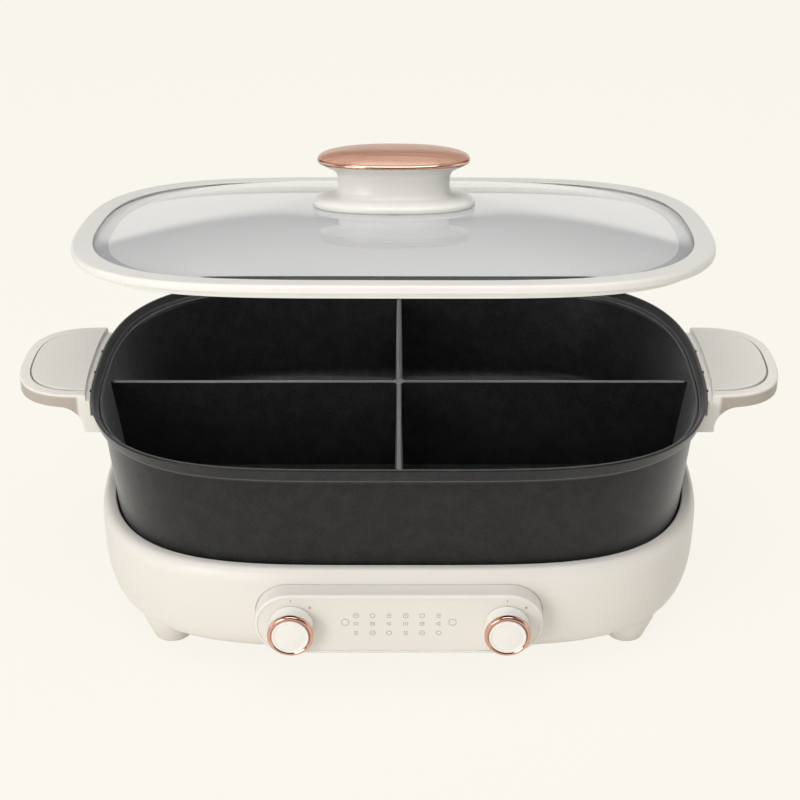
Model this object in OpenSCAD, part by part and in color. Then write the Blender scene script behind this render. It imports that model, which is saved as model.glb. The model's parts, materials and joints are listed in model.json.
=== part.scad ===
// Electric hot pot: a cast four-compartment pot on a heated base, with a framed glass lid.
// The pot stands on the table plane z = 0 with its controls facing -Y. All sizes are in mm.

/* [Pot] */
// Length of the pot over its rim, left to right
pot_len = 370; // [350:1:400]
// Depth of the pot over its rim, front to back
pot_dep = 264; // [250:1:290]
// Depth of the compartments below the top of the rim
pot_inside = 69.2; // [62:0.2:74]
// Thickness of the cast wall and floor
pot_wall = 2.8; // [2.5:0.1:3.2]
// How far the side leans in from the rim to the floor
pot_taper = 5.3; // [4:0.1:7]
// Radius inside the pot where the side meets the floor
pot_fillet = 11; // [8:0.5:14]
// Radius outside the pot where the side meets the underside
pot_radius = 5; // [4:0.5:7]
// Width of the stepped rim, seen from above
rim_w = 6.4; // [6:0.1:7.5]
// Height of the rim's outer band
rim_band = 8.3; // [7.5:0.1:9]
// Distance from the top of the rim down to the top of the partition
partition_drop = 11.5; // [11:0.5:16]
// Thickness of the partition at its top edge
partition_top = 3; // [2:0.1:4]
// Thickness of the partition at the floor
partition_foot = 5; // [4.5:0.1:7]

/* [Outline] */
// Squareness of the long front and back sides
side_power = 4.2; // [3.8:0.1:5]
// Squareness of the two ends
end_power = 2.7; // [2.5:0.1:3.2]

/* [Base] */
// Length of the base at its widest
base_len = 366; // [360:1:376]
// Height of the base shell without the feet
base_h = 62.5; // [60:0.5:70]
// How far the bowl of the base draws in at its bottom, each side
base_tuck = 32; // [28:0.5:36]
// Height of the rounded shoulder at the top of the base
shoulder_h = 8.5; // [7:0.5:11]
// Least width of the shoulder, from the base's widest line in to its opening
shoulder_w = 8.3; // [7.5:0.1:10]
// Wall thickness of the base shell
base_wall = 2.6; // [2:0.1:3]
// Height of the feet below the base
foot_h = 14; // [10:0.5:20]
// Radius of a foot where it stands
foot_r = 12; // [10:0.5:13]
// How far a foot's middle lies outside the outline of the bowl's bottom
foot_out = 8.7; // [5:0.1:10]
// Where a foot lies round the outline, from the end towards the side
foot_turn = 43; // [38:1:48]
// How far the pot stands down into the base
pot_sink = 4.5; // [3.5:0.1:6]
// Gap between the pot and the lip of the base
lip_gap = 1; // [0.8:0.1:2]

/* [Heater] */
// Thickness of the cast heating plate
plate_t = 7.5; // [6:0.5:9]
// How far the heating plate stands above the deck
plate_rise = 6; // [5:0.5:6.5]
// Diameter of the heater tube
tube_d = 7; // [6:0.5:8]
// Gap between the heater tube's end loops and the edge of the plate
tube_gap = 10; // [6:0.5:16]
// Radius of the heater tube's end loops
tube_loop = 55; // [48:1:60]

/* [Console] */
// Length of the console
console_len = 165; // [156:1:176]
// Height of the console
console_h = 39.5; // [37:0.5:42]
// How far the console's face stands out of the base
console_out = 10.8; // [9:0.1:12]
// Width of the frame around the control panel
console_rim = 2; // [1.5:0.1:3]
// Distance from the console's end to the middle of a knob
knob_inset = 21.2; // [20:0.1:24]
// Diameter of a knob
knob_d = 26.2; // [24:0.2:28]
// How far a knob stands out of the panel
knob_out = 12.5; // [11:0.1:14]
// Width of the metal ring round a knob's face
knob_ring_w = 2.6; // [2:0.1:3.4]
// Diameter of a control's shaft
shaft_d = 6; // [5:0.1:6.4]

/* [Handles] */
// How far a handle reaches out beyond the lid
handle_reach = 42.5; // [39:0.5:48]
// Width of a handle, front to back
handle_w = 95; // [86:1:100]
// Thickness of a handle's plate
handle_t = 9; // [8:0.5:11]
// Height of a handle's top above the rim
handle_rise = 3.6; // [2:0.1:4.5]
// Radius under a handle, between its plate and its leg
handle_fillet = 14; // [12:0.5:16]
// How far a handle's leg stands out beyond the pot's rim
leg_stand = 2.5; // [2:0.1:4]
// Width of the margin round a handle's cap
cap_margin = 7; // [6:0.5:9]

/* [Lid] */
// How far the lid's frame reaches out beyond the pot's rim
lid_over = 1.7; // [1:0.1:2.5]
// Width of the lid's frame, seen from above
frame_w = 12; // [11:0.5:14]
// Height of the lid's frame
frame_h = 5.2; // [5:0.1:7]
// Thickness of the glass
glass_t = 3.4; // [3:0.1:3.8]
// Rise of the glass from its edge to its flat middle
glass_dome = 13.5; // [10:0.5:16]
// Length of the lid's knob
grip_len = 90; // [80:1:96]
// Depth of the lid's knob, front to back
grip_dep = 54; // [48:1:58]
// Height of the lid's knob above the glass
grip_h = 34; // [30:0.5:38]
// Length of the foot of the lid's knob
grip_foot_len = 96; // [90:1:100]
// Tilt of the lid as it is held, front edge up
lid_tilt = 8.1; // [5:0.1:9]
// Distance behind the pot's middle of the axis that the lid is swung about
lid_swing = 593; // [560:1:740]
// Sideways lean of that axis, so that the lid is held a little to the left
lid_lean = -2.1; // [-4:0.1:4]

/* [Inlet] */
// Width of the mains inlet's face
inlet_w = 34; // [31:0.5:38]
// Height of the mains inlet's face
inlet_h = 26; // [24:0.5:28]
// How deep the mains inlet reaches into the base
inlet_deep = 24; // [22:0.5:28]

/* [Hidden] */

$fn = 64;
outline_points = 64;   // points round each long rounded outline
slim = (pot_len - pot_dep) / 2;   // half length less half depth, the same for pot, base and lid
fit = 0.3;             // clearance between pieces that move or are put together
eps = 0.01;

cream = "#e6e2d9";
cast_black = "#2b2b2b";
rose_gold = "#b9826a";
wood = "#a9745a";
steel = "#b8babd";

// Heights
base_low = foot_h;
base_top = foot_h + base_h;
shoulder_z = base_top - shoulder_h;         // where the base is widest
pot_low = base_top - pot_sink;              // underside of the pot, on the heating plate
pot_floor = pot_low + pot_wall;
rim_z = pot_floor + pot_inside;             // top of the pot's rim
deck_z = pot_low - plate_rise;              // top of the deck round the heating plate
deck_t = 2.5;
cover_t = 2.4;
plate_low = pot_low - plate_t;

// Half lengths; the half depth of each outline is its half length less slim
pot_half = pot_len / 2;
rim_in = pot_half - rim_w;
side_top = pot_half - 6;                    // outside of the pot's wall under the rim
base_half = base_len / 2;
lip_half = min(side_top - pot_taper + lip_gap, base_half - shoulder_w);   // edge of the base's opening
side_low = lip_half - lip_gap;              // outside of the pot's wall where it stands in the opening
base_foot_half = base_half - base_tuck;
deck_half = lip_half + base_wall;
plate_half = side_low - 25;
tube_run = plate_half - tube_gap - tube_d / 2 - tube_loop;   // half length of the heater tube's straight runs
cover_half = base_foot_half - base_wall - fit;

// Controls
console_r = console_h / 2;
base_dep_half = base_half - slim;
panel_y = -base_dep_half - console_out;     // face of the control panel
panel_t = 2.8;
console_z = shoulder_z - console_r - 0.1;   // middle of the console
frame_back_y = -base_dep_half + base_wall + 2.9;   // just inside the base's wall
board_t = 1.6;
board_y = frame_back_y - board_t - 0.9;     // front face of the control board
control_depth = 7;
knob_pitch = console_len - 2 * knob_inset;
knob_r = knob_d / 2;
knob_gap = 0.5;                             // between a knob and the panel
knob_face_y = panel_y - knob_out;

// Handles
handle_in = pot_half + lid_over + 1;        // inner edge of a handle's plate, clear of the lid
handle_top = rim_z + handle_rise;
handle_low = handle_top - handle_t;
rim_low = rim_z - rim_band;
lug_t = 8;
lug_low = rim_low - lug_t;
lug_root = 0.6;                             // how far the lug runs up into the rim
lug_out = pot_half - 0.5;
lug_half_w = 22;
leg_out = pot_half + leg_stand;             // outer face of the handle's leg
leg_low = lug_low - 5.5;
screw_r = 1.95;
screw_head_r = 3.2;
screw_head_t = 2.2;
leg_screw_x = lug_out - screw_r - 1.2;
leg_head_r = 2.9;
leg_screw_y = 13;
cap_t = 2.6;
groove = 1.2;                               // width of the groove round a handle's cap

// Lid, measured from the pot's rim when it is closed
lid_half = pot_half + lid_over;
frame_in = lid_half - frame_w;
glass_half = frame_in + 3.5;
glass_low = (frame_h - glass_t) / 2;
dome_flat = 0.29;                           // share of the glass that is flat in the middle
glass_top = glass_low + glass_t + glass_dome;
grip_top = glass_top + grip_h;
grip_power = 2.4;
washer_t = 1.4;

// Middle of the base, placed so that the origin is below the middle of the whole object
front_reach = -knob_face_y + 0.6;
rear_reach = lid_swing + (lid_half - slim - lid_swing) * cos(lid_tilt) + (frame_h - 2) * sin(lid_tilt);
middle_y = (front_reach - rear_reach) / 2;

echo(rim_z = rim_z, middle_y = middle_y, panel_y = panel_y + middle_y, console_z = console_z);
echo(knob_face_y = knob_face_y + middle_y, lid_axis = [lid_swing + middle_y, rim_z + fit]);
echo(foot = outline_at(base_foot_half + foot_out, foot_turn));

// ---------- shared shapes ----------

function signed_pow(v, p) = sign(v) * pow(abs(v), p);

// A rounded rectangle with full sides: [half length, half depth] and its two powers
function squircle(half_len, half_dep, p, q, n) = [
  for (i = [0:n - 1])
    let (t = 360 * i / n)
    [half_len * signed_pow(cos(t), 2 / p), half_dep * signed_pow(sin(t), 2 / q)]
];

function outline(half_len) =
  squircle(half_len, half_len - slim, side_power, end_power, outline_points);

// The point of an outline that lies a turn from its end towards its side, in the first quarter
function outline_at(half_len, turn) = [
  half_len * pow(cos(turn), 2 / side_power),
  (half_len - slim) * pow(sin(turn), 2 / end_power)
];

// Points of an arc in the plane of half length and height
function arc(centre, r, from, to, steps) = [
  for (i = [0:steps])
    let (t = from + (to - from) * i / steps)
    [centre[0] + r * cos(t), centre[1] + r * sin(t)]
];

// Side faces between neighbouring rings of n points
function band_faces(rings, n, closed) = [
  for (k = [0:rings - (closed ? 1 : 2)])
    let (up = (k + 1) % rings)
    for (i = [0:n - 1])
      let (j = (i + 1) % n)
      for (f = [[k * n + i, up * n + i, up * n + j], [k * n + i, up * n + j, k * n + j]])
        f
];

function end_faces(rings, n) = [
  [for (i = [0:n - 1]) i],
  [for (i = [n - 1:-1:0]) (rings - 1) * n + i]
];

// A solid through rings of points, closed by its first and last ring
module loft(rings) {
  n = len(rings[0]);
  points = [for (ring = rings) for (p = ring) p];
  polyhedron(points, concat(band_faces(len(rings), n, false), end_faces(len(rings), n)), convexity = 6);
}

// A ring-shaped solid whose section is the closed list of [half length, height] in profile
module loft_loop(profile) {
  n = outline_points;
  points = [for (p = profile) for (q = outline(p[0])) [q[0], q[1], p[1]]];
  polyhedron(points, band_faces(len(profile), n, true), convexity = 6);
}

// A solid whose surface runs through the [half length, height] pairs in profile
module loft_solid(profile) {
  loft([for (p = profile) [for (q = outline(p[0])) [q[0], q[1], p[1]]]]);
}

module slab(half_len, low, high) {
  translate([0, 0, low]) linear_extrude(high - low) polygon(outline(half_len));
}

module stadium(length, height) {
  r = height / 2;
  square([length - height, height], center = true);
  for (side = [-1, 1]) {
    translate([side * (length / 2 - r), 0]) circle(r);
  }
}

// A stadium standing in the XZ plane, from y = front to y = back
module stadium_bar(length, height, front, back) {
  translate([0, back, console_z]) rotate([90, 0, 0]) linear_extrude(back - front) stadium(length, height);
}

module rod_y(r, front, back) {
  translate([0, back, 0]) rotate([90, 0, 0]) cylinder(r = r, h = back - front);
}

module in_place() {
  translate([0, middle_y, 0]) children();
}

// The lid as it is held above the pot
module held() {
  translate([0, middle_y + lid_swing, rim_z + fit]) rotate([0, lid_lean, 0]) rotate([-lid_tilt, 0, 0])
    rotate([0, -lid_lean, 0]) translate([0, -lid_swing, 0]) children();
}

module at_corners(p) {
  for (sx = [-1, 1]) {
    for (sy = [-1, 1]) {
      translate([sx * p[0], sy * p[1], 0]) children();
    }
  }
}

// ---------- base ----------

bowl_power = 3.45;
flange_w = 4;          // width of the flange that the bottom cover is held against

// The outside of the base below its widest line, from the bottom up
function bowl(inset, steps) = [
  for (i = [0:steps])
    let (t = 90 - 90 * i / steps)
    [
      base_foot_half - inset + base_tuck * pow(cos(t), 2 / bowl_power),
      shoulder_z - (shoulder_z - base_low) * pow(sin(t), 2 / bowl_power)
    ]
];

// The rounded shoulder from the widest line to the lip of the opening
function shoulder(inset, steps) = [
  for (i = [1:steps])
    let (t = 90 * i / steps)
    [
      lip_half + 3 + (base_half - lip_half - 3 - inset) * cos(t),
      shoulder_z + (shoulder_h - inset) * sin(t)
    ]
];

base_profile = concat(
  bowl(0, 10),
  shoulder(0, 5),
  [
    [lip_half + 0.8, base_top - 0.3],
    [lip_half, base_top - 1.4],
    [lip_half, deck_z],
    [deck_half, deck_z]
  ],
  [for (i = [4:-1:1]) shoulder(base_wall, 5)[i - 1]],
  [for (i = [10:-1:3]) bowl(base_wall, 10)[i]],
  [
    [base_foot_half - base_wall - flange_w, base_low + cover_t + 2],
    [base_foot_half - base_wall - flange_w, base_low + cover_t],
    [base_foot_half - base_wall, base_low + cover_t],
    [base_foot_half - base_wall, base_low]
  ]
);

module console_opening() {
  stadium_bar(console_len + 2 * fit, console_h + 2 * fit, panel_y - 10, frame_back_y + 0.7);
}

inlet_z = shoulder_z - 20;

module inlet_block(w, h, front, back) {
  translate([-w / 2, front, inlet_z - h / 2]) cube([w, back - front, h]);
}

module base_shell() {
  color(cream) in_place() difference() {
    loft_loop(base_profile);
    console_opening();
    inlet_block(inlet_w - 4 + 2 * fit, inlet_h - 4 + 2 * fit, base_dep_half - 15, base_dep_half + 10);
  }
}

post_r = 4.5;
post_turn = 50;
post = outline_at(cover_half - flange_w - post_r - 6, post_turn);   // middle of a deck post
arm_end = outline_at(plate_half + 8, post_turn);                    // where a post's arm meets the deck
arm_w = 7;
arm_t = 3;
board_post_h = 7;
board_post_r = 3;
board_x = 45;
board_dep = 56;
board_mid_y = cover_half - slim - flange_w - board_dep / 2;
board_post = [board_x - 5, board_dep / 2 - 5];
support = [tube_run - 10, tube_loop - 17];   // inside the heater tube
support_r = 2.5;
reflector_z = plate_low - tube_d - 5;
reflector_t = 0.8;
slot_n = 7;
slot_in = support[1] + support_r + 5;
slot_out = cover_half - slim - flange_w - 11.6;

module bottom_cover() {
  color("#d8d4cb") in_place() difference() {
    union() {
      slab(cover_half, base_low, base_low + cover_t);
      translate([0, board_mid_y, 0]) at_corners(board_post)
        translate([0, 0, base_low]) cylinder(r = board_post_r, h = cover_t + board_post_h);
    }
    at_corners(post) translate([0, 0, base_low - 1]) cylinder(r = 1.8, h = cover_t + 2);
    for (side = [-1, 1]) {
      for (i = [0:slot_n - 1]) {
        translate([side * (28 + 9 * i), -(slot_in + slot_out) / 2, base_low - 1]) linear_extrude(cover_t + 2)
          rotate(90) stadium(slot_out - slot_in, 4);
      }
    }
  }
}

// A bar under the deck from a post to the deck's inner edge, in the first quarter
module post_arm() {
  reach = arm_end - post;
  translate([post[0], post[1], deck_z - deck_t - arm_t]) rotate(atan2(reach[1], reach[0]))
    translate([0, -arm_w / 2, 0]) cube([norm(reach), arm_w, arm_t + 0.5]);
}

module deck_ring() {
  color("#3a3a3a") in_place() difference() {
    union() {
      difference() {
        slab(deck_half, deck_z - deck_t, deck_z);
        slab(plate_half + 2, deck_z - deck_t - 1, deck_z + 1);
      }
      at_corners(post) translate([0, 0, base_low + cover_t])
        cylinder(r = post_r, h = deck_z - deck_t - base_low - cover_t);
      for (mx = [0, 1]) {
        for (my = [0, 1]) {
          mirror([mx, 0, 0]) mirror([0, my, 0]) post_arm();
        }
      }
    }
    at_corners(post) translate([0, 0, base_low]) cylinder(r = 1.25, h = cover_t + 14);
  }
}

module bottom_screws() {
  color(steel) in_place() at_corners(post) {
    translate([0, 0, base_low - 1.8]) cylinder(r = 3, h = 1.8);
    translate([0, 0, base_low - 1.8]) cylinder(r = 1.2, h = 1.8 + cover_t + 9);
  }
}

foot_at = outline_at(base_foot_half + foot_out, foot_turn);
pad_r = foot_r - 5;
pad_t = 2.5;
pad_out = 1;

// The lower part of the base's outside, as a solid
module bowl_block() {
  loft_solid([for (i = [0:7]) bowl(0, 10)[i]]);
}

module foot(sx, sy) {
  color(cream) in_place() difference() {
    translate([sx * foot_at[0], sy * foot_at[1], 0]) rotate_extrude() polygon([
      [0, pad_out],
      [foot_r - 4, pad_out],
      [foot_r - 1.2, pad_out + 1.2],
      [foot_r, pad_out + 4],
      [foot_r + 4.5, foot_h + 2],
      [foot_r + 6, foot_h + 10],
      [foot_r + 6, foot_h + 16],
      [0, foot_h + 16]
    ]);
    bowl_block();
    translate([sx * foot_at[0], sy * foot_at[1], 0]) cylinder(r = pad_r + 0.1, h = pad_t);
  }
}

module foot_pads() {
  color("#55534f") in_place() at_corners(foot_at) cylinder(r = pad_r, h = pad_t);
}

// ---------- heater ----------

module heating_plate() {
  color("#8f9193") in_place() slab(plate_half, plate_low, pot_low);
}

tube_z = plate_low - tube_d / 2;
terminal_x = 14;
terminal_bend = 8;

module heater_tube() {
  r = tube_d / 2;
  color("#6f6a66") in_place() union() {
    for (side = [-1, 1]) {
      translate([side * tube_run, 0, tube_z]) rotate(side > 0 ? -90 : 90) rotate_extrude(angle = 180)
        translate([tube_loop, 0]) circle(r);
      translate([side * terminal_x, tube_loop, tube_z]) rotate([0, 90 * side, 0])
        cylinder(r = r, h = tube_run - terminal_x);
      translate([side * terminal_x, tube_loop, tube_z - terminal_bend]) rotate([90, 0, 0])
        rotate(side > 0 ? 90 : 0) rotate_extrude(angle = 90) translate([terminal_bend, 0]) circle(r);
      translate([side * (terminal_x - terminal_bend), tube_loop, tube_z - terminal_bend - 14])
        cylinder(r = r, h = 14);
    }
    translate([-tube_run, -tube_loop, tube_z]) rotate([0, 90, 0]) cylinder(r = r, h = 2 * tube_run);
  }
}

module plate_supports() {
  color(steel) in_place() at_corners(support) {
    translate([0, 0, base_low + cover_t]) cylinder(r = support_r + 2, h = reflector_z - base_low - cover_t);
    translate([0, 0, reflector_z]) cylinder(r = support_r, h = plate_low - reflector_z);
  }
}

reflector_half = plate_half - 8;

module heat_reflector() {
  color("#c9cccf") in_place() difference() {
    union() {
      slab(reflector_half, reflector_z, reflector_z + reflector_t);
      difference() {
        slab(reflector_half, reflector_z, reflector_z + 6);
        slab(reflector_half - reflector_t, reflector_z - 1, reflector_z + 7);
      }
    }
    at_corners(support) translate([0, 0, reflector_z - 1]) cylinder(r = support_r + 0.1, h = 4);
    at_corners(post) translate([0, 0, reflector_z - 1]) cylinder(r = post_r + 1, h = 8);
    for (side = [-1, 1]) {
      translate([side * (terminal_x - terminal_bend), tube_loop, reflector_z - 1])
        cylinder(r = tube_d / 2 + 1.5, h = 4);
    }
  }
}

module thermostat() {
  color("#c8b48a") in_place() union() {
    translate([0, 0, plate_low - 6]) cylinder(r = 12, h = 6);
    translate([0, 0, plate_low - 10.5]) cylinder(r = 8, h = 5);
  }
}

module thermal_fuse() {
  color("#e9e5dc") in_place() translate([30, 0, plate_low - 2.5]) rotate([0, 90, 0]) {
    cylinder(r = 2.5, h = 20);
    translate([0, 0, -4]) cylinder(r = 0.8, h = 28);
  }
}

// ---------- controls ----------

module console_frame() {
  color(cream) in_place() difference() {
    stadium_bar(console_len, console_h, panel_y - 0.4, frame_back_y);
    stadium_bar(console_len - 2 * console_rim, console_h - 2 * console_rim, panel_y - 2, panel_y + panel_t);
    stadium_bar(console_len - 4 * console_rim - 3, console_h - 4 * console_rim - 3, panel_y, frame_back_y + 1);
  }
}

panel_len = console_len - 2 * console_rim - 0.2;
panel_h = console_h - 2 * console_rim - 0.2;
pillar_x = 34;
pillar_z = 9;

module control_panel() {
  color("#e4dfd6") in_place() difference() {
    union() {
      stadium_bar(panel_len, panel_h, panel_y, panel_y + panel_t);
      for (sx = [-1, 1]) {
        for (sz = [-1, 1]) {
          translate([sx * pillar_x, 0, console_z + sz * pillar_z]) rod_y(2.5, panel_y + panel_t - eps, board_y);
        }
      }
    }
    for (side = [-1, 1]) {
      translate([side * knob_pitch / 2, 0, console_z]) rod_y(shaft_d / 2 + 1, panel_y - 1, panel_y + panel_t + 1);
    }
  }
}

module control_board() {
  board_len = knob_pitch + 14;
  board_h = console_h - 4 * console_rim - 7;
  color("#2f6b45") in_place() difference() {
    translate([-board_len / 2, board_y, console_z - board_h / 2]) cube([board_len, board_t, board_h]);
    for (side = [-1, 1]) {
      translate([side * knob_pitch / 2, 0, console_z]) rod_y(shaft_d / 2 + 0.6, board_y - 1, board_y + 3);
    }
  }
}

module control(side) {
  size = 14;
  color("#5a5f66") in_place() translate([side * knob_pitch / 2, 0, console_z]) difference() {
    translate([-size / 2, board_y - control_depth, -size / 2]) cube([size, control_depth, size]);
    rod_y(shaft_d / 2 + 0.05, board_y - control_depth - 1, board_y + 1);
  }
}

module turned_y(x, z) {
  translate([x, 0, z]) rotate([90, 0, 0]) rotate_extrude() children();
}

// A knob's pieces are turned round the shaft; heights in the section are distances out of the panel
module knob_body(side) {
  wall = 1.8;
  color("#efece6") in_place() translate([0, panel_y, 0]) difference() {
    turned_y(side * knob_pitch / 2, console_z) polygon([
      [0, knob_gap + 1.5],
      [shaft_d / 2 + 2, knob_gap + 1.5],
      [shaft_d / 2 + 2, knob_out - 4.5],
      [knob_r - wall - 0.3, knob_out - 4.5],
      [knob_r - wall - 0.3, knob_gap],
      [knob_r - 0.6, knob_gap],
      [knob_r - 0.3, knob_gap + 0.3],
      [knob_r - 0.3, knob_out - 3],
      [knob_r - knob_ring_w, knob_out - 3],
      [knob_r - knob_ring_w, knob_out - 1.6],
      [0, knob_out - 1.6]
    ]);
    translate([side * knob_pitch / 2, -knob_out + 3.5, console_z]) rod_y(shaft_d / 2, 0, knob_out);
  }
}

module knob_ring(side) {
  color(rose_gold) in_place() translate([0, panel_y, 0]) turned_y(side * knob_pitch / 2, console_z) polygon([
    [knob_r - knob_ring_w + 0.05, knob_out - 3],
    [knob_r - 0.5, knob_out - 3],
    [knob_r, knob_out - 2.6],
    [knob_r, knob_out - 0.9],
    [knob_r - 0.6, knob_out - 0.3],
    [knob_r - 1.2, knob_out - 0.3],
    [knob_r - knob_ring_w + 0.4, knob_out - 0.9],
    [knob_r - knob_ring_w + 0.05, knob_out - 0.9]
  ]);
}

module knob_cap(side) {
  cap_r = knob_r - knob_ring_w;
  color("#f1efea") in_place() translate([0, panel_y, 0]) turned_y(side * knob_pitch / 2, console_z) polygon([
    [0, knob_out - 1.6],
    [cap_r, knob_out - 1.6],
    [cap_r, knob_out + 0.2],
    [cap_r - 0.3, knob_out + 0.5],
    [cap_r - 0.7, knob_out + 0.5],
    [cap_r - 1.1, knob_out],
    [4, knob_out + 0.5],
    [0, knob_out + 0.6]
  ]);
}

module knob_shaft(side) {
  color(steel) in_place() translate([side * knob_pitch / 2, 0, console_z])
    rod_y(shaft_d / 2, panel_y - knob_out + 3.5, board_y + board_t - 0.4);
}

// ---------- mains inlet and power board ----------

inlet_face_y = base_dep_half + 1.6;
socket_w = inlet_w - 9;
socket_h = inlet_h - 9;
socket_deep = inlet_deep - 6;
pin_gap = 7;

module mains_inlet() {
  color("#26262a") in_place() difference() {
    union() {
      inlet_block(inlet_w, inlet_h, base_dep_half + fit, inlet_face_y);
      inlet_block(inlet_w - 4, inlet_h - 4, inlet_face_y - inlet_deep, inlet_face_y - 0.5);
    }
    inlet_block(socket_w, socket_h, inlet_face_y - socket_deep, inlet_face_y + 1);
  }
}

module inlet_pins() {
  pin_foot = inlet_face_y - socket_deep;
  color(steel) in_place() for (i = [-1:1]) {
    translate([i * pin_gap - 1, pin_foot, inlet_z - 2 + (i == 0 ? 3 : 0)]) cube([2, socket_deep - 3, 4]);
  }
}

module power_board() {
  board_z = base_low + cover_t + board_post_h;
  color("#3d7a52") in_place() translate([0, board_mid_y, board_z]) union() {
    translate([-board_x, -board_dep / 2, 0]) cube([2 * board_x, board_dep, board_t]);
    translate([-36, -20, board_t - eps]) cube([19, 15.5, 15]);
    translate([-36, 2, board_t - eps]) cube([19, 15.5, 15]);
    translate([4, 14, board_t - eps]) cylinder(r = 6, h = 14);
    translate([22, 10, board_t - eps]) cube([14, 10, 12], center = false);
  }
}

// ---------- pot ----------

fillet_mid = [side_low - pot_radius, pot_low + pot_radius];
flare_low = rim_low - 2.2;                  // where the side turns out into the rim

pot_profile = concat(
  arc(fillet_mid, pot_radius, -90, 0, 4),
  [
    [side_top, flare_low],
    [pot_half - 2.4, rim_low],
    [pot_half - 1.5, rim_low + 1],
    [pot_half, rim_z - 1.4],
    [pot_half - 0.4, rim_z - 0.4],
    [pot_half - 1.2, rim_z],
    [pot_half - 2, rim_z - 0.6],
    [pot_half - 3.3, rim_z - 3.8],
    [pot_half - 3.9, rim_z - 4.2],
    [rim_in + 2.2, rim_z - 6.4],
    [rim_in + 1.6, rim_z - 6.4],
    [rim_in + 1.2, rim_z - 5.7],
    [rim_in + 0.5, rim_z - 5.4],
    [rim_in, rim_z - 5.9],
    [rim_in - 0.5, rim_z - 7.2]
  ],
  arc([side_low - pot_wall - pot_fillet, pot_floor + pot_fillet], pot_fillet, 0, -90, 5)
);

partition_z = rim_z - partition_drop;

// Upright face of one partition wall; its ends run inside the pot's wall
function partition_face(less) =
  let (
    half = concat(
      [for (p = arc(fillet_mid, pot_radius - pot_wall / 2, -90, 0, 3)) [p[0] - less, p[1]]],
      [[side_top - 0.8 - less, partition_z]]
    )
  )
  concat(half, [for (i = [len(half) - 1:-1:0]) [-half[i][0], half[i][1]]]);

module partition_wall(less) {
  intersection() {
    translate([0, 20, 0]) rotate([90, 0, 0]) linear_extrude(40) polygon(partition_face(less));
    rotate([90, 0, 90]) translate([0, 0, -pot_half]) linear_extrude(pot_len) polygon([
      [-partition_foot / 2, pot_low],
      [partition_foot / 2, pot_low],
      [partition_top / 2, partition_z],
      [-partition_top / 2, partition_z]
    ]);
  }
}

module pot() {
  star = partition_foot + 1;                 // where the two walls cross
  color(cast_black) in_place() difference() {
    union() {
      loft_solid(pot_profile);
      partition_wall(0);
      rotate(90) partition_wall(slim);
      translate([0, 0, pot_floor - 1]) rotate(45) translate([-star / 2, -star / 2, 0])
        cube([star, star, partition_z - pot_floor + 1]);
      for (side = [-1, 1]) {
        mirror([side > 0 ? 1 : 0, 0, 0]) translate([-lug_out, -lug_half_w, lug_low])
          cube([lug_out - side_top + pot_wall / 2, 2 * lug_half_w, lug_t + lug_root]);
      }
    }
    for (side = [-1, 1]) {
      for (sy = [-1, 1]) {
        translate([side * leg_screw_x, sy * leg_screw_y, lug_low - 1]) cylinder(r = 2, h = lug_t);
      }
    }
  }
}

// ---------- handles ----------

handle_half_w = handle_w / 2;
handle_points = 28;

// Plan of a handle, reaching out along +X from x = 0; grow makes it larger or smaller all round
function handle_plan(grow) = [
  for (i = [0:handle_points])
    let (t = 180 * i / handle_points)
    [
      (handle_reach + grow) * pow(abs(sin(t)), 2 / 2.5),
      -(handle_half_w + grow) * signed_pow(cos(t), 2 / 2.9)
    ]
];

leg_foot = lug_low - leg_low;

// Side view of a handle: x out from the pot's middle, z up
handle_side = concat(
  [
    [handle_in + handle_reach + 1, handle_low + 1.5],
    [handle_in + handle_reach + 1, handle_top],
    [side_top, handle_top],
    [side_top, leg_low],
    [leg_out, leg_low]
  ],
  arc([leg_out + handle_fillet, handle_low - handle_fillet], handle_fillet, 180, 90, 8),
  [[handle_in + handle_reach - 6, handle_low]]
);

module handle_block() {
  intersection() {
    union() {
      translate([handle_in, 0, leg_low - 1]) linear_extrude(handle_top - leg_low + 2)
        polygon(handle_plan(0));
      translate([side_top - 2, -handle_half_w, leg_low - 1])
        cube([handle_in - side_top + 2 + eps, handle_w, handle_top - leg_low + 2]);
    }
    translate([0, handle_half_w + 5, 0]) rotate([90, 0, 0]) linear_extrude(handle_w + 10)
      polygon(handle_side);
  }
}

// A handle's cap, or the recess that it lies in; start is where it begins beyond the handle's inner edge
module cap_shape(grow, start, low, high) {
  half_w = handle_half_w + grow - cap_margin;
  translate([0, 0, low]) linear_extrude(high - low) {
    intersection() {
      translate([handle_in, 0]) polygon(handle_plan(grow - cap_margin));
      translate([handle_in + start, -handle_half_w]) square([handle_reach, handle_w]);
    }
    if (start < 0) {
      translate([handle_in + start, -half_w]) square([eps - start, 2 * half_w]);
    }
  }
}

module to_side(side) {
  mirror([side < 0 ? 1 : 0, 0, 0]) children();
}

module handle(side) {
  color(cream) in_place() to_side(side) difference() {
    handle_block();
    slab(handle_in, rim_z - 1, handle_top + 1);
    slab(pot_half + fit, flare_low - fit, rim_z);
    slab(side_top + fit, leg_low - 1, rim_low);
    translate([side_top - 1, -lug_half_w - fit, lug_low - fit])
      cube([lug_out + fit - side_top + 1, 2 * (lug_half_w + fit), lug_t + lug_root + 2 * fit]);
    cap_shape(groove, -3, handle_top - cap_t - fit, handle_top + 1);
    for (sy = [-1, 1]) {
      translate([leg_screw_x, sy * leg_screw_y, leg_low - 1]) cylinder(r = screw_r + 0.25, h = 20);
      translate([leg_screw_x, sy * leg_screw_y, leg_low - 1]) cylinder(r = leg_head_r + fit, h = 3.4);
    }
  }
}

module handle_cap(side) {
  color("#e9e6dd") in_place() to_side(side) cap_shape(0, 0.5, handle_top - cap_t, handle_top);
}

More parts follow.
